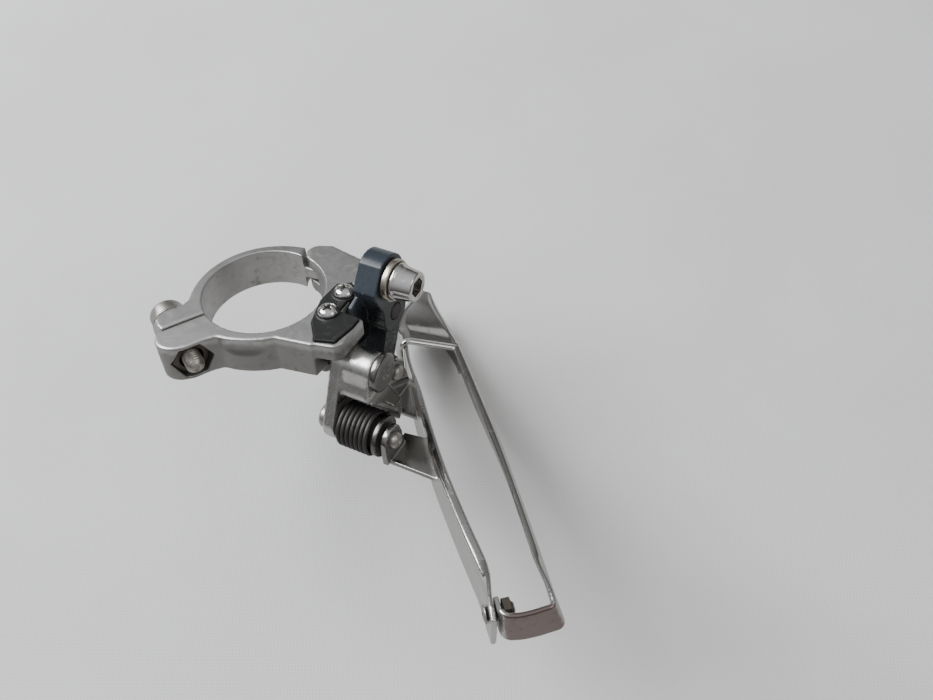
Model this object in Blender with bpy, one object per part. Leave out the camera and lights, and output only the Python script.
"""Front derailleur with a hinged seat tube clamp, a skewed parallelogram and a chain cage.

Frame: the origin is on the upper edge face of the clamp band, in the middle of
its wall.  +X points to the drive side, +Y forward and +Z up along the seat tube.
Sizes are in millimetres and become metres in the meshes.  The pieces are drawn about
the centre of the clamp bore, half way up the band, and moved to the frame's origin
at the end.
The linkage is drawn in its own frame: p along the pivot pins (rearward and
outward), n square to them (forward and outward) and z up.
"""
import bpy
import bmesh
import math
from mathutils import Matrix, Vector

MM = 0.001
GAP = 0.3                     # clearance between touching pieces
ROUND = 20                    # facets of a small round piece
ARC_STEPS = 8                 # segments of a rounded end

# Clamp
BORE_R = 28.6 / 2             # half the seat tube's diameter
BORE_FACETS = 64
BAND_H = 10.0                 # height of the clamp along the seat tube
HALF_H = BAND_H / 2
BRACKET_WALL = 2.3            # wall of the bracket's half ring
BAND_WALL = 1.9               # wall of the hinged band
RING_STEPS = 22               # segments of each half ring
SPLIT_DEG = 198.0             # polar angle of the split at the clamp bolt
SPLIT_MARGIN_DEG = 1.2        # each half ring stops this far from the split
HINGE_DEG = 37.0              # polar angle of the band hinge
HINGE_R = 17.4                # distance of the hinge pin from the bore axis
HINGE_PIN_R = 1.22
HINGE_HOLE_R = 1.3
TONGUE_HALF = 1.5             # half the height of the band's hinge tongue
LUG_R = 21.0                  # distance of the clamp bolt from the bore axis
BOLT_R = 2.35                 # clamp bolt shank
BOLT_HOLE_R = 2.9
ORIGIN_R, ORIGIN_DEG = 15.2, 120.0    # polar place of the frame's origin

# Linkage: places are (n, z)
SKEW_DEG = 40.0               # pivot pins lie this far behind the drive side direction
INNER_TOP = (-4.0, -4.0)      # inner link's upper pivot
INNER_LOW = (-10.2, -18.0)    # inner link's lower pivot
OUTER_TOP = (14.0, -3.0)      # outer link's upper pivot
OUTER_LOW = (OUTER_TOP[0] + INNER_LOW[0] - INNER_TOP[0],
             OUTER_TOP[1] + INNER_LOW[1] - INNER_TOP[1])
ANCHOR = (13.2, 7.6)          # cable anchor bolt
PIN_R = 2.1
BRACKET_HOLE_R = PIN_R + 0.05
LINK_HOLE_R = PIN_R + 0.08
PIN_NECK_R = 1.9              # end of a pin where it carries the cage
CAGE_HOLE_R = PIN_NECK_R + 0.05

# Limit screws: places are (p, n)
LOW_SCREW = (18.2, -0.6)
HIGH_SCREW = (17.9, 6.6)
LIMIT_HOLE_R = 1.75
LIMIT_HEAD_Z = HALF_H + 0.8   # underside of the screw heads

# Cage
SHEET = 1.2                   # cage sheet thickness
REAR_SCREW_Y, REAR_SCREW_Z = -77.2, -23.6
REAR_HOLE_R = 1.6
# (y, x) of each plate's wall in plan, from the front to the rear
INNER_X = ((12.0, 32.7), (5.0, 31.9), (-8.0, 31.0), (-24.0, 30.9), (-40.0, 31.4),
           (-56.0, 32.8), (-70.0, 34.3), (-77.0, 34.2), (-83.6, 33.9))
OUTER_X = ((7.0, 46.4), (-6.0, 46.8), (-18.0, 47.1), (-34.0, 47.4), (-53.0, 47.2),
           (-67.0, 46.9), (-80.0, 46.4))


# ---------------------------------------------------------------- frames

def frame(origin, *axes):
    """Matrix whose columns are the unit directions of three axes, at origin."""
    matrix = Matrix([Vector(axis).normalized() for axis in axes]).transposed().to_4x4()
    matrix.translation = origin
    return matrix


def polar(radius, degrees, z=0.0):
    angle = math.radians(degrees)
    return Vector((radius * math.cos(angle), radius * math.sin(angle), z))


def pin_frame(n, z):
    """Frame on a pivot axis: local x, y, z are n, z, p."""
    return frame(N_AXIS * n + Vector((0, 0, z)), N_AXIS, Z_AXIS, P_AXIS)


def upright(p, n):
    """Frame at a linkage place, with its axes along the world's."""
    return Matrix.Translation(LINK @ Vector((p, n, 0)))


WORLD = Matrix.Identity(4)
Z_AXIS = Vector((0, 0, 1))
SKEW_SIN, SKEW_COS = math.sin(math.radians(SKEW_DEG)), math.cos(math.radians(SKEW_DEG))
P_AXIS = Vector((SKEW_COS, -SKEW_SIN, 0.0))
N_AXIS = Vector((SKEW_SIN, SKEW_COS, 0.0))
LINK = frame((0, 0, 0), P_AXIS, N_AXIS, Z_AXIS)      # drawn in plan: (p, n), extruded along z
ACROSS = frame((0, 0, 0), N_AXIS, Z_AXIS, P_AXIS)    # drawn across the pins: (n, z), along p
ALONG = frame((0, 0, 0), P_AXIS, Z_AXIS, -N_AXIS)    # drawn along the pins: (p, z), along -n

FIXED = Matrix.Translation(polar(ORIGIN_R, ORIGIN_DEG, HALF_H))    # the frame's origin
HINGE = Matrix.Translation(polar(HINGE_R, HINGE_DEG))
SPLIT_DIR = polar(1, SPLIT_DEG)                # outward through the lugs
BOLT_DIR = polar(1, SPLIT_DEG + 90)            # along the clamp bolt, rearward
LUG = frame((0, 0, 0), SPLIT_DIR, BOLT_DIR, Z_AXIS)
CLAMP_BOLT = frame(SPLIT_DIR * LUG_R, SPLIT_DIR, -Z_AXIS, BOLT_DIR)
INNER_TOP_PIN = pin_frame(*INNER_TOP)
INNER_LOW_PIN = pin_frame(*INNER_LOW)
OUTER_TOP_PIN = pin_frame(*OUTER_TOP)
OUTER_LOW_PIN = pin_frame(*OUTER_LOW)
ANCHOR_BOLT = pin_frame(*ANCHOR)
LIMIT_SCREWS = {'low_limit_screw': upright(*LOW_SCREW),
                'high_limit_screw': upright(*HIGH_SCREW)}
REAR_SCREW = frame((0, REAR_SCREW_Y, REAR_SCREW_Z), (0, 1, 0), (0, 0, 1), (1, 0, 0))


# ---------------------------------------------------------------- mesh tools

def new_object(name, bm):
    bmesh.ops.remove_doubles(bm, verts=bm.verts, dist=1e-7)
    bmesh.ops.recalc_face_normals(bm, faces=bm.faces)
    if bm.calc_volume(signed=True) < 0:
        bmesh.ops.reverse_faces(bm, faces=bm.faces)
    mesh = bpy.data.meshes.new(name)
    bm.to_mesh(mesh)
    bm.free()
    obj = bpy.data.objects.new(name, mesh)
    bpy.context.scene.collection.objects.link(obj)
    return obj


def bake_modifiers(obj):
    bpy.context.view_layer.update()
    graph = bpy.context.evaluated_depsgraph_get()
    mesh = bpy.data.meshes.new_from_object(obj.evaluated_get(graph))
    obj.modifiers.clear()
    obj.data = mesh


def boolean(piece, tools, operation):
    """Apply the tools one after another and remove them."""
    for tool in tools:
        modifier = piece.modifiers.new(operation.lower(), 'BOOLEAN')
        modifier.operation = operation
        modifier.solver = 'EXACT'
        modifier.object = tool
        bake_modifiers(piece)
        bpy.data.objects.remove(tool, do_unlink=True)


def union(piece, *tools):
    boolean(piece, tools, 'UNION')


def cut(piece, *tools):
    boolean(piece, tools, 'DIFFERENCE')


def prism(name, outline, low, high, place=WORLD):
    """Outline (x, y) extruded from low to high along local z."""
    bm = bmesh.new()
    face = bm.faces.new([bm.verts.new(place @ Vector((x, y, low)) * MM) for x, y in outline])
    extruded = bmesh.ops.extrude_face_region(bm, geom=[face])['geom']
    shift = (place.to_3x3() @ Vector((0, 0, high - low))) * MM
    bmesh.ops.translate(bm, vec=shift,
                        verts=[item for item in extruded if isinstance(item, bmesh.types.BMVert)])
    return new_object(name, bm)


def lathe(name, profile, place=WORLD, sides=ROUND):
    """Profile (radius, height) turned about local z; a closed profile makes a ring."""
    bm = bmesh.new()
    closed = profile[0] == profile[-1]
    rings = []
    for radius, height in profile[:-1] if closed else profile:
        angles = [2 * math.pi * i / sides for i in range(sides)] if radius > 0 else [0.0]
        rings.append([bm.verts.new(place @ Vector((radius * math.cos(a), radius * math.sin(a),
                                                   height)) * MM) for a in angles])
    if closed:
        rings.append(rings[0])
    for lower, upper in zip(rings, rings[1:]):
        for i in range(sides):
            j = (i + 1) % sides
            if len(lower) == 1:
                bm.faces.new((lower[0], upper[i], upper[j]))
            elif len(upper) == 1:
                bm.faces.new((lower[i], lower[j], upper[0]))
            else:
                bm.faces.new((lower[i], lower[j], upper[j], upper[i]))
    if not closed:
        for ring in (rings[0], rings[-1]):
            if len(ring) > 1:
                bm.faces.new(ring)
    return new_object(name, bm)


def rod(name, radius, low, high, place=WORLD, sides=ROUND):
    return lathe(name, [(radius, low), (radius, high)], place, sides)


def drill(piece, radius, low, high, place=WORLD, sides=ROUND):
    """Cut a round hole, or one with flats when it has few sides."""
    cut(piece, rod('drill', radius, low, high, place, sides))


def washer(name, hole_r, radius, low, high, place, sides=ROUND):
    lathe(name, [(hole_r, low), (radius, low), (radius, high), (hole_r, high), (hole_r, low)],
          place, sides)


def arc(centre, radius, start, end, steps=ARC_STEPS):
    angles = [math.radians(start + (end - start) * i / steps) for i in range(steps + 1)]
    return [(centre[0] + radius * math.cos(a), centre[1] + radius * math.sin(a)) for a in angles]


def capsule(first, second, first_r, second_r):
    """Outline around two circles."""
    dx, dy = second[0] - first[0], second[1] - first[1]
    heading = math.degrees(math.atan2(dy, dx))
    tilt = math.degrees(math.asin((first_r - second_r) / math.hypot(dx, dy)))
    return (arc(first, first_r, heading + 90 - tilt, heading + 270 + tilt)
            + arc(second, second_r, heading - 90 + tilt, heading + 90 - tilt))


def interpolate(table, y):
    """Smooth value at y through a table of (y, value) with falling y."""
    last = len(table) - 1
    if y >= table[0][0]:
        i = 0
    elif y <= table[-1][0]:
        i = last - 1
    else:
        i = max(k for k in range(last) if table[k][0] >= y)
    (y0, v0), (y1, v1) = table[i], table[i + 1]
    span = y1 - y0
    t = (y - y0) / span

    def slope(k):
        """Slope across point k; at the table's ends, or where level, the segment's own."""
        across = 0.0
        if 0 < k < last:
            across = (table[k + 1][1] - table[k - 1][1]) / (table[k + 1][0] - table[k - 1][0])
        return across or (v1 - v0) / span

    return ((2 * t ** 3 - 3 * t ** 2 + 1) * v0 + (t ** 3 - 2 * t ** 2 + t) * span * slope(i)
            + (-2 * t ** 3 + 3 * t ** 2) * v1 + (t ** 3 - t ** 2) * span * slope(i + 1))


def sheet(name, rows):
    """Sheet metal of thickness SHEET about a grid of points."""
    bm = bmesh.new()
    grid = [[Vector(point) for point in row] for row in rows]
    last_i, last_j = len(grid) - 1, len(grid[0]) - 1

    def offset(i, j):
        du = grid[min(i + 1, last_i)][j] - grid[max(i - 1, 0)][j]
        dv = grid[i][min(j + 1, last_j)] - grid[i][max(j - 1, 0)]
        return du.cross(dv).normalized() * SHEET / 2

    def face_grid(sign):
        return [[bm.verts.new((grid[i][j] + sign * offset(i, j)) * MM)
                 for j in range(last_j + 1)] for i in range(last_i + 1)]

    up, down = face_grid(1), face_grid(-1)
    for i in range(last_i):
        for j in range(last_j):
            for side in (up, down):
                bm.faces.new((side[i][j], side[i + 1][j], side[i + 1][j + 1], side[i][j + 1]))
    for i in range(last_i):
        for j in (0, -1):
            bm.faces.new((up[i][j], down[i][j], down[i + 1][j], up[i + 1][j]))
    for j in range(last_j):
        for i in (0, -1):
            bm.faces.new((up[i][j], up[i][j + 1], down[i][j + 1], down[i][j]))
    return new_object(name, bm)


# ---------------------------------------------------------------- clamp

# plan outlines of the bracket's arm, block and roof (p, n)
BLOCK = [(3.0, -11.4), (10.0, -12.4), (20.2, -10.6), (20.2, 17.6), (17.0, 19.0), (9.0, 20.3),
         (5.6, 20.9), (2.2, 19.5), (1.1, 17.1), (4.3, 12.0), (8.5, 8.0), (12.5, 3.0),
         (13.0, -3.0), (10.5, -8.2), (6.0, -10.0)]
ARM = [(-5.6, -13.4), (-7.0, -16.6), (-1.0, -14.8), (3.0, -13.6), (10.0, -12.4), (14.0, -8.0),
       (10.5, -4.5), (6.0, -10.0), (2.0, -13.6)]
ROOF = [(19.5, -10.4), (24.9, -9.2), (26.2, -7.2), (26.2, 1.2), (19.5, 1.2)]
# lug outlines (out from the bore axis, rearward along the bolt)
BRACKET_LUG = ([(14.6, GAP), (LUG_R + 4.2, GAP)]
               + [(LUG_R - 0.2 + 6.3 * x, 3.4 + 4.9 * y) for x, y in arc((0, 0), 1, -28, 85)]
               + [(18.0, 8.2), (15.2, 8.7), (12.6, 9.9)])
BAND_LUG = [(14.6, -GAP), (LUG_R + 3.0, -GAP), (LUG_R + 3.6, -2.0), (LUG_R + 3.5, -4.2),
            (LUG_R + 2.2, -5.4), (18.0, -5.6), (14.6, -7.2)]
# plan outline of the plastic limit screw plate (p, n)
SCREW_PLATE = [(20.1, -9.3), (24.5, -7.9), (25.5, -2.4), (25.5, 0.8), (19.9, 0.9), (19.8, 8.6),
               (17.6, 10.6), (14.6, 8.6), (14.2, 2.2), (16.2, -4.2)]


def half_ring(name, start, end, wall):
    """Half of the clamp ring; wall(angle, share) is its wall at a share of the sweep.

    It reaches 1 mm into the bore, which is cut later.
    """
    outer = []
    for i in range(RING_STEPS + 1):
        share = i / RING_STEPS
        angle = start + (end - start) * share
        outer.append(polar(BORE_R + wall(angle, share), angle).to_2d())
    inner = arc((0, 0), BORE_R - 1, start, end, RING_STEPS)
    return prism(name, inner[::-1] + outer, -HALF_H, HALF_H)


def make_bracket():
    # half ring from the split, past the rear, to the hinge
    start = SPLIT_DEG + SPLIT_MARGIN_DEG

    def wall(angle, share):
        """Thicker by 1.6 mm at the split."""
        return BRACKET_WALL + 1.6 * max(0.0, math.cos(math.radians((angle - start) * 1.4))) ** 2

    bracket = half_ring('clamp_bracket', start, 360 + HINGE_DEG - 3, wall)
    union(bracket,
          prism('lug', BRACKET_LUG, -HALF_H, HALF_H, LUG),
          prism('arm', ARM, -HALF_H, HALF_H, LINK),
          prism('block', BLOCK, -HALF_H, HALF_H, LINK),
          prism('roof', ROOF, 0.5, HALF_H, LINK),
          rod('inner_boss', 4.3, 11.5, 20.0, INNER_TOP_PIN),
          rod('outer_boss', 4.6, 5.5, 20.0, OUTER_TOP_PIN),
          rod('knuckles', 2.9, -HALF_H + 0.15, HALF_H - 0.15, HINGE, 24))
    drill(bracket, BORE_R, -HALF_H - 9, HALF_H + 3, sides=BORE_FACETS)
    # the slot leaves a knuckle above and below the band's tongue
    slot_half = TONGUE_HALF + GAP
    drill(bracket, 4.2, -slot_half, slot_half, HINGE, 24)
    drill(bracket, HINGE_HOLE_R, -HALF_H - 1, HALF_H + 1, HINGE, 12)
    # clamp bolt hole and the nut's hex pocket
    drill(bracket, BOLT_HOLE_R, -2, 14, CLAMP_BOLT)
    drill(bracket, 4.65, 3.1, 14, CLAMP_BOLT, 6)
    # pivot pin holes
    drill(bracket, BRACKET_HOLE_R, 16.5, 24, INNER_TOP_PIN)
    drill(bracket, BRACKET_HOLE_R, 8.9, 24, OUTER_TOP_PIN)
    # seat of the limit screw plate and the two screw holes
    cut(bracket, prism('seat', grown(SCREW_PLATE, GAP), HALF_H - 1.6, HALF_H + 1, LINK))
    for place in LIMIT_SCREWS.values():
        drill(bracket, LIMIT_HOLE_R, -HALF_H - 1, HALF_H + 1, place, 16)


def grown(outline, amount):
    """Outline with each point moved away from the mean point."""
    mean_x = sum(x for x, _ in outline) / len(outline)
    mean_y = sum(y for _, y in outline) / len(outline)
    points = []
    for x, y in outline:
        distance = math.hypot(x - mean_x, y - mean_y)
        points.append((x + (x - mean_x) / distance * amount,
                       y + (y - mean_y) / distance * amount))
    return points


def make_limit_screw_plate():
    plate = prism('limit_screw_plate', SCREW_PLATE, HALF_H - 1.3, HALF_H + 0.5, LINK)
    for place in LIMIT_SCREWS.values():
        drill(plate, LIMIT_HOLE_R, HALF_H - 3, HALF_H + 3, place, 16)


def make_band():
    # half ring from the hinge, past the front, to the split
    start = HINGE_DEG + 8.0

    def wall(angle, share):
        """Thicker by 1.5 mm at the hinge and by 2.2 mm at the split."""
        return BAND_WALL + 1.5 * (1 - share) ** 6 + 2.2 * share ** 5

    band = half_ring('clamp_band', start, SPLIT_DEG - SPLIT_MARGIN_DEG, wall)
    tongue = capsule(HINGE.translation.to_2d(), polar(BORE_R + 1.2, start + 5).to_2d(), 2.8, 1.4)
    union(band,
          prism('lug', BAND_LUG, -HALF_H, HALF_H, LUG),
          rod('bolt_head_boss', 4.6, -6.4, -0.8, CLAMP_BOLT, 24),
          prism('tongue', tongue, -TONGUE_HALF, TONGUE_HALF))
    drill(band, BORE_R, -HALF_H - 1, HALF_H + 1, sides=BORE_FACETS)
    # room for the bracket's knuckles above and below the tongue
    drill(band, 3.9, TONGUE_HALF, HALF_H + 1, HINGE, 24)
    drill(band, 3.9, -HALF_H - 1, -TONGUE_HALF, HINGE, 24)
    drill(band, HINGE_HOLE_R, -HALF_H - 1, HALF_H + 1, HINGE, 12)
    drill(band, BOLT_HOLE_R, -14, 2, CLAMP_BOLT)


def make_clamp_bolt():
    profile = [(0, -10.7), (3.8, -10.7), (4.1, -10.3), (4.1, -7.5), (BOLT_R, -7.5),
               (BOLT_R, 10.2), (BOLT_R - 0.5, 10.8), (0, 10.8)]
    bolt = lathe('clamp_bolt', profile, CLAMP_BOLT)
    drill(bolt, 2.3, -12, -8.8, CLAMP_BOLT, 6)       # hex socket


def make_clamp_hardware():
    rod('band_hinge_pin', HINGE_PIN_R, -HALF_H, HALF_H, HINGE, 12)
    make_clamp_bolt()
    washer('clamp_bolt_washer', 2.75, 4.4, -7.3, -6.7, CLAMP_BOLT)
    nut = rod('clamp_nut', 4.3, 3.4, 6.7, CLAMP_BOLT, 6)
    drill(nut, BOLT_R + 0.45, 3, 14, CLAMP_BOLT)


def make_limit_screw(name, place):
    # (radius, height from the head's underside)
    profile = [(0, 1.5), (1.3, 1.4), (2.0, 0.9), (2.35, 0), (1.45, 0), (1.45, -7.6),
               (1.0, -8.2), (0, -8.2)]
    screw = lathe(name, [(radius, LIMIT_HEAD_Z + height) for radius, height in profile], place)
    # cross recess
    half_length, half_width = 1.45, 0.3
    bar = [(-half_length, -half_width), (half_length, -half_width),
           (half_length, half_width), (-half_length, half_width)]
    for angle in (35, 125):
        turned = place @ Matrix.Rotation(math.radians(angle), 4, 'Z')
        cut(screw, prism('bar', bar, LIMIT_HEAD_Z + 0.5, LIMIT_HEAD_Z + 3, turned))


# ---------------------------------------------------------------- linkage

def make_inner_link():
    top_n, top_z = INNER_TOP
    low_n, low_z = INNER_LOW
    # ear at the inboard end, and the barrel of the upper pivot
    link = prism('inner_link', capsule(INNER_TOP, INNER_LOW, 4.2, 4.5), 22.0, 25.0, ACROSS)
    barrel = rod('barrel', 4.1, 22.2, 32.2, INNER_TOP_PIN)
    # web forward of the spring (n, z), sloped off at its outboard end (p, z)
    web_outline = [(top_n - 4.05, top_z + 0.5), (top_n + 3.0, top_z - 2.8),
                   (low_n + 8.2, low_z + 0.6), (low_n + 6.6, low_z - 1.4),
                   (low_n + 6.5, low_z + 2.0), (low_n + 4.2, low_z + 6.4),
                   (-8.9, -10.4), (-9.8, -9.4), (-9.5, -8.0), (top_n - 4.6, top_z - 2.0)]
    slope = [(32.0, 3.0), (40.0, 3.0), (40.0, -13.0), (36.0, -13.0), (32.0, -9.3)]
    web = prism('web', web_outline, 24.4, 36.2, ACROSS)
    cut(web, prism('slope', slope, -30, 20, ALONG))
    union(link, barrel, web)
    drill(link, 6.35, 25.0, 40, INNER_LOW_PIN, 24)   # room for the spring
    drill(link, LINK_HOLE_R, 18, 40, INNER_TOP_PIN)
    drill(link, LINK_HOLE_R, 18, 30, INNER_LOW_PIN)


def make_outer_link():
    top_n, top_z = OUTER_TOP
    low_n, low_z = OUTER_LOW
    # outlines (n, z); the lever is round about the anchor bolt, with a flat rear flank
    lever = (arc(ANCHOR, 6.1, 0, 120) + [(6.3, 7.4), (6.6, 5.8), (9.0, 0.5)]
             + arc(OUTER_TOP, 5.0, 165, 360))
    plate = [(top_n - 3.6, top_z - 1.0), (top_n + 3.6, top_z - 1.6),
             (low_n + 3.5, low_z + 0.4), (low_n - 3.1, low_z + 1.0)]
    wing = [(top_n - 4.6, top_z - 6.2), (top_n + 1.6, top_z - 6.2),
            (low_n + 3.3, low_z + 0.6), (low_n - 2.9, low_z + 1.2)]
    web = [(9.6, 0.2), (7.0, 5.6), (3.6, 4.4), (1.7, 0.6), (2.2, -4.0), (4.4, -7.6),
           (9.8, -8.4), (11.0, -4.0)]
    link = prism('outer_link', lever, 20.6, 26.4, ACROSS)
    union(link,
          prism('plate', plate, 20.9, 26.2, ACROSS),
          prism('wing', wing, 17.6, 22.0, ACROSS),
          rod('foot', 3.9, 18.0, 27.2, OUTER_LOW_PIN, 24),
          prism('web', web, 20.6, 21.7, ACROSS))
    drill(link, LINK_HOLE_R, 18, 40, OUTER_TOP_PIN)
    drill(link, LINK_HOLE_R, 10, 40, OUTER_LOW_PIN)
    drill(link, 2.6, 18, 40, ANCHOR_BOLT, 16)


def make_pins():
    # profiles (radius, p)
    lathe('inner_pivot_pin',
          [(0, 16.7), (PIN_R, 16.7), (PIN_R, 32.5), (4.7, 32.5), (4.7, 33.7), (4.2, 34.1),
           (0, 34.1)], INNER_TOP_PIN)
    lathe('outer_pivot_pin',
          [(0, 9.1), (PIN_R, 9.1), (PIN_R, 26.3), (1.8, 26.6), (0, 26.6)], OUTER_TOP_PIN)
    lathe('spring_pin',
          [(0, 19.7), (2.6, 19.7), (3.1, 20.2), (3.1, 21.7), (PIN_R, 21.7), (PIN_R, 36.6),
           (PIN_NECK_R, 36.6), (PIN_NECK_R, 39.4), (1.3, 39.9), (0, 39.9)], INNER_LOW_PIN)
    lathe('outer_cage_pin',
          [(0, 16.0), (2.6, 16.0), (3.0, 16.4), (3.0, 17.3), (PIN_R, 17.3), (PIN_R, 27.5),
           (PIN_NECK_R, 27.5), (PIN_NECK_R, 29.7), (1.4, 30.1), (0, 30.1)], OUTER_LOW_PIN)


def make_cable_anchor():
    washer('cable_clamp_washer', 2.75, 5.1, 26.7, 28.2, ANCHOR_BOLT, 24)
    profile = [(0, 20.8), (2.1, 20.8), (2.4, 21.2), (2.4, 28.5), (4.5, 28.5), (4.5, 29.2),
               (3.65, 33.4), (3.3, 33.7), (0, 33.7)]
    bolt = lathe('cable_anchor_bolt', profile, ANCHOR_BOLT, 24)
    drill(bolt, 2.5, 30.6, 36, ANCHOR_BOLT, 6)       # hex socket


def make_spring_bushing():
    profile = [(LINK_HOLE_R, 25.3), (3.7, 25.3), (3.7, 35.2), (5.0, 35.2), (5.0, 36.3),
               (LINK_HOLE_R, 36.3), (LINK_HOLE_R, 25.3)]
    lathe('spring_bushing', profile, INNER_LOW_PIN)


def make_spring():
    """Torsion spring around the bushing, with a short straight outboard end."""
    coil_r, wire_r, turns = 4.95, 0.62, 7.0
    turn_steps, wire_facets = 18, 6
    low, high = 26.1, 34.4           # p of the coil's ends
    start, end_length = math.radians(20), 1.0
    steps = int(turns * turn_steps)
    path = []
    for i in range(steps + 1):
        angle = start + 2 * math.pi * turns * i / steps
        path.append(Vector((coil_r * math.cos(angle), coil_r * math.sin(angle),
                            low + (high - low) * i / steps)))
    path.append(path[-1] + (path[-1] - path[-2]).normalized() * end_length)
    bm = bmesh.new()
    rings = []
    for i, centre in enumerate(path):
        tangent = (path[min(i + 1, len(path) - 1)] - path[max(i - 1, 0)]).normalized()
        side = Z_AXIS.cross(tangent).normalized()
        up = tangent.cross(side)
        ring = []
        for k in range(wire_facets):
            angle = 2 * math.pi * k / wire_facets
            point = centre + side * wire_r * math.cos(angle) + up * wire_r * math.sin(angle)
            ring.append(bm.verts.new(INNER_LOW_PIN @ point * MM))
        rings.append(ring)
    for a, b in zip(rings, rings[1:]):
        for k in range(wire_facets):
            j = (k + 1) % wire_facets
            bm.faces.new((a[k], a[j], b[j], b[k]))
    bm.faces.new(rings[0])
    bm.faces.new(rings[-1])
    new_object('return_spring', bm)


# ---------------------------------------------------------------- cage

# y of the sections across each plate
INNER_STATIONS = [11.0, 8.5, 5.0, 3.6, 2.0, 0.0, -2.0, -6.0, -13.0, -20.0, -27.0, -34.0, -42.0,
                  -50.0, -58.0, -66.0, -72.0, -75.0, -77.0, -79.6, -81.4]
OUTER_STATIONS = [7.0, 3.0, 1.0, -1.5, -5.0, -11.0, -18.0, -26.0, -34.0, -43.0, -52.0, -60.0,
                  -68.0, -73.0, -76.0, -79.0]
# (y, depth of the plate below its upper edge)
INNER_DEPTH = ((11.0, 8.0), (6.0, 11.0), (-10.0, 12.5), (-30.0, 12.0), (-50.0, 12.0),
               (-66.0, 13.0), (-77.0, 12.0), (-81.4, 8.6))
OUTER_DEPTH = ((7.0, 10.0), (-8.0, 11.0), (-20.0, 10.6), (-34.0, 10.0), (-52.0, 9.6),
               (-66.0, 9.4), (-80.0, 9.4))
# (y, outward lean of the outer plate's lower edge)
OUTER_LEAN = ((7.0, 0.2), (-20.0, 0.5), (-50.0, 1.1), (-67.0, 1.5), (-80.0, 2.1))
# plates' upper edges: z at EDGE_Y, and rise per millimetre rearward
EDGE_Y = 8
INNER_EDGE_Z, INNER_RISE = -26.0, 0.083
OUTER_EDGE_Z, OUTER_RISE = -30.0, 0.13
BEND_DROP = 1.15              # the bend of the upper edge starts this far below it
BEND_LENGTH = 0.65
LIP_MIN, LIP_GROWTH = 0.5, 1.0    # lip length unbent, and what a full bend adds


def ramp(value):
    return max(0.0, min(1.0, value))


def lip_angle(y):
    """Bend of a plate's upper edge towards the chain, in degrees, fading at both ends."""
    return 90.0 * ramp((2.5 - y) / 4.0) * ramp((y + 79.0) / 5.0)


def edge_points(x, y, top, side, degrees):
    """Upper edge of a cage plate: lip, bend and wall, from the lip's free edge down."""
    angle = math.radians(degrees)
    wall_z = top - BEND_DROP
    bend_x = x + side * BEND_LENGTH * math.sin(angle / 2)
    bend_z = wall_z + BEND_LENGTH * math.cos(angle / 2)
    reach = LIP_MIN + LIP_GROWTH * degrees / 90
    return [(bend_x + side * reach * math.sin(angle), y, bend_z + reach * math.cos(angle)),
            (bend_x, y, bend_z), (x, y, wall_z)]


def inner_wall_rows():
    rows = []
    for y in INNER_STATIONS:
        x = interpolate(INNER_X, y)
        top = INNER_EDGE_Z + (EDGE_Y - y) * INNER_RISE
        depth = interpolate(INNER_DEPTH, y)
        if y > 4:                        # the front end steps down
            top -= 2.2
        if y < -79:                      # the rear end slopes down
            top -= 0.5 * (-79 - y)
        rows.append(edge_points(x, y, top, 1, lip_angle(y))
                    + [(x, y, top - depth * 0.5), (x - 0.2, y, top - depth)])
    return rows


def make_inner_plate():
    plate = sheet('inner_cage_plate', inner_wall_rows())
    low_n, low_z = INNER_LOW
    # tab (p, n) from the upper edge to the spring pin's ear (n, z), and their bend (p, z)
    tab_rear, tab_front, ear_p = -12.4, -3.4, 36.9
    tab = [(ear_p, tab_rear), (ear_p, tab_front), (42.9, tab_front + 0.8),
           (51.2, tab_rear + 0.4), (50.2, tab_rear)]
    ear = ([(low_n - 3.3, -24.0), (low_n + 4.4, -24.0), (low_n + 3.9, low_z - 0.4)]
           + arc(INNER_LOW, 3.6, 0, 180) + [(low_n - 3.6, low_z - 2.0)])
    bend = [(38.0, -23.6), (38.0, -20.5), (38.5, -20.5), (38.9, -21.5), (39.8, -22.4),
            (41.0, -22.9), (42.4, -23.1), (42.4, -23.6)]
    union(plate,
          prism('tab', tab, -24.6, -23.3, LINK),
          prism('ear', ear, ear_p, 38.3, ACROSS),
          prism('bend', bend, 3.6, 13.1, ALONG))
    # shelf (p, n) and ear (n, z) of the outer link's lower pin
    shelf_p = 27.7
    shelf = [(shelf_p, 13.9), (shelf_p, 3.2), (38.0, 3.2), (29.4, 13.9)]
    shelf_ear = [(3.4, -26.2), (13.6, -26.2), (12.4, -21.0)] + arc(OUTER_LOW, 3.4, -10, 190)
    union(plate,
          prism('shelf', shelf, -26.4, -25.2, LINK),
          prism('shelf_ear', shelf_ear, shelf_p, 28.9, ACROSS))
    drill(plate, CAGE_HOLE_R, 30, 45, INNER_LOW_PIN, 16)
    drill(plate, CAGE_HOLE_R, 26, 32, OUTER_LOW_PIN, 16)
    drill(plate, REAR_HOLE_R, 30, 40, REAR_SCREW, 12)


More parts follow.
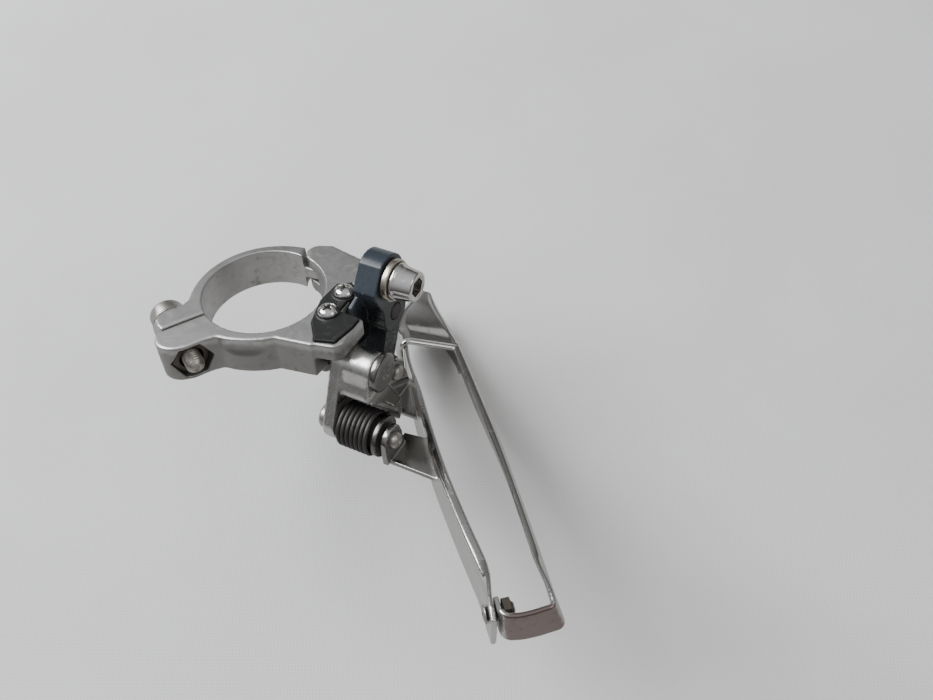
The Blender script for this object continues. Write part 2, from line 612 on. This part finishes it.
def outer_wall_rows():
    path = [(interpolate(OUTER_X, y), y) for y in OUTER_STATIONS]
    # bend into the tail wall, then into the flange beside the inner plate
    x_end, y_end = path[-1]
    tail_r, flange_r = 2.4, 2.0
    for angle in map(math.radians, (15, 35, 55, 75, 90)):
        path.append((x_end - tail_r + tail_r * math.cos(angle), y_end - tail_r * math.sin(angle)))
    flange_x = interpolate(INNER_X, -77.0) + SHEET + GAP + 0.1
    tail_y = path[-1][1]
    path += [(42.0, tail_y - 0.3), (39.4, tail_y - 0.3), (flange_x + flange_r, tail_y)]
    for angle in map(math.radians, (30, 60, 90)):
        path.append((flange_x + flange_r - flange_r * math.sin(angle),
                     tail_y + flange_r - flange_r * math.cos(angle)))
    path.append((flange_x, -75.1))

    rows = []
    for k, (x, y) in enumerate(path):
        edge_y = max(y, -79.5)
        top = OUTER_EDGE_Z + (EDGE_Y - edge_y) * OUTER_RISE
        depth = interpolate(OUTER_DEPTH, edge_y)
        if k < len(OUTER_STATIONS):
            lean, bend = interpolate(OUTER_LEAN, edge_y), lip_angle(y)
        else:                            # the tail has no lip, and its lean fades inward
            lean, bend = 0.2 + 1.9 * max(0.0, (x - flange_x) / (x_end - flange_x)), 0.0
        rows.append(edge_points(x, y, top, -1, bend)
                    + [(x + lean * 0.45, y, top - depth * 0.5), (x + lean, y, top - depth)])
    return rows


def nose_rows():
    """Inverted channel that narrows to the front."""
    lap = SHEET + GAP + 0.05             # the nose lies this far inboard of the inner plate
    # (y, x of the inboard wall, x of the outboard wall)
    stations = ((5.6, interpolate(INNER_X, 5.6) - lap, 46.35),
                (9.0, interpolate(INNER_X, 9.0) - lap, 46.1),
                (12.5, 30.5, 45.4), (16.0, 31.4, 44.5), (19.4, 33.9, 43.4),
                (22.2, 37.1, 42.6), (24.2, 40.0, 41.9))
    top = -25.2
    rows = []
    for y, left, right in stations:
        width = right - left
        shoulder = top - 4.4 * width / 13.0          # the roof falls to the outboard side
        left_bend = min(2.6, width * 0.3)
        bend = min(1.6, width * 0.25)
        depth = 8.0 * min(1.0, width / 9.0) + 1.0
        rows.append([(left, y, top - bend - depth), (left, y, top - left_bend),
                     (left + left_bend * 0.3, y, top - left_bend * 0.3),
                     (left + left_bend, y, top), (right - bend, y, shoulder),
                     (right - bend * 0.3, y, shoulder - bend * 0.35),
                     (right, y, shoulder - bend), (right, y, shoulder - bend - depth)])
    return rows


def make_outer_plate():
    plate = sheet('outer_cage_plate', outer_wall_rows())
    union(plate, sheet('nose', nose_rows()))
    # trim the flange's upper part (x, y)
    trim = [(33.0, -79.6), (37.6, -79.6), (37.6, -70.0), (33.0, -70.0)]
    cut(plate, prism('trim', trim, -21.3, -14.0))
    drill(plate, REAR_HOLE_R, 34.9, 39, REAR_SCREW, 12)


def make_cage_hardware():
    plate_x = interpolate(INNER_X, REAR_SCREW_Y)
    # (radius, x from the inner plate)
    profile = [(0, -1.6), (1.3, -1.55), (1.9, -1.3), (2.0, -1.0), (1.45, -1.0), (1.45, 4.6),
               (1.1, 5.0), (0, 5.0)]
    lathe('cage_rear_screw', [(radius, plate_x + x) for radius, x in profile], REAR_SCREW, 16)
    nut = rod('cage_rear_nut', 2.7, plate_x + 2.7, plate_x + 4.3, REAR_SCREW, 6)
    drill(nut, 1.55, plate_x, plate_x + 8, REAR_SCREW, 16)


# ---------------------------------------------------------------- finish

FINISHES = {
    'cast': dict(colour=(0.62, 0.61, 0.59), roughness=0.42, metallic=0.9),
    'chrome': dict(colour=(0.80, 0.80, 0.80), roughness=0.12, metallic=1.0),
    'polished': dict(colour=(0.78, 0.78, 0.77), roughness=0.25, metallic=1.0),
    'black_paint': dict(colour=(0.03, 0.035, 0.04), roughness=0.22, metallic=0.0),
    'black_plastic': dict(colour=(0.03, 0.03, 0.03), roughness=0.5, metallic=0.0),
    'spring_steel': dict(colour=(0.10, 0.10, 0.11), roughness=0.35, metallic=0.9),
    'steel': dict(colour=(0.55, 0.54, 0.52), roughness=0.3, metallic=1.0),
}
# piece: (finish, frame whose place becomes the object's origin)
PIECES = {
    'clamp_bracket': ('cast', FIXED),
    'clamp_band': ('cast', HINGE),
    'band_hinge_pin': ('steel', FIXED),
    'clamp_bolt': ('steel', CLAMP_BOLT),
    'clamp_bolt_washer': ('steel', CLAMP_BOLT),
    'clamp_nut': ('steel', FIXED),
    'limit_screw_plate': ('black_plastic', FIXED),
    'low_limit_screw': ('chrome', LIMIT_SCREWS['low_limit_screw']),
    'high_limit_screw': ('chrome', LIMIT_SCREWS['high_limit_screw']),
    'inner_link': ('polished', INNER_TOP_PIN),
    'inner_pivot_pin': ('steel', FIXED),
    'outer_link': ('black_paint', OUTER_TOP_PIN),
    'outer_pivot_pin': ('steel', FIXED),
    'cable_clamp_washer': ('chrome', ANCHOR_BOLT),
    'cable_anchor_bolt': ('chrome', ANCHOR_BOLT),
    'return_spring': ('spring_steel', INNER_LOW_PIN),
    'spring_bushing': ('polished', INNER_LOW_PIN),
    'spring_pin': ('steel', INNER_LOW_PIN),
    'outer_cage_pin': ('steel', OUTER_LOW_PIN),
    'inner_cage_plate': ('chrome', INNER_LOW_PIN),
    'outer_cage_plate': ('chrome', INNER_LOW_PIN),
    'cage_rear_screw': ('steel', REAR_SCREW),
    'cage_rear_nut': ('steel', REAR_SCREW),
}


def make_material(name, colour, roughness, metallic):
    material = bpy.data.materials.new(name)
    material.use_nodes = True
    inputs = material.node_tree.nodes['Principled BSDF'].inputs
    inputs['Base Color'].default_value = (*colour, 1)
    inputs['Roughness'].default_value = roughness
    inputs['Metallic'].default_value = metallic
    return material


def finish_piece(name, finish, joint):
    """Give a piece its material, origin and shading, and move it to the frame."""
    obj = bpy.data.objects[name]
    obj.data.materials.clear()
    obj.data.materials.append(make_material(name, **FINISHES[finish]))
    obj.data.transform(Matrix.Translation(-joint.translation * MM))
    obj.location = (joint.translation - FIXED.translation) * MM
    obj.data.shade_smooth()
    obj.data.set_sharp_from_angle(angle=math.radians(35))


for old in list(bpy.data.objects):
    bpy.data.objects.remove(old, do_unlink=True)

make_bracket()
make_limit_screw_plate()
make_band()
make_clamp_hardware()
for screw_name, screw_place in LIMIT_SCREWS.items():
    make_limit_screw(screw_name, screw_place)
make_inner_link()
make_outer_link()
make_pins()
make_cable_anchor()
make_spring_bushing()
make_spring()
make_inner_plate()
make_outer_plate()
make_cage_hardware()
for piece_name, (piece_finish, piece_joint) in PIECES.items():
    finish_piece(piece_name, piece_finish, piece_joint)
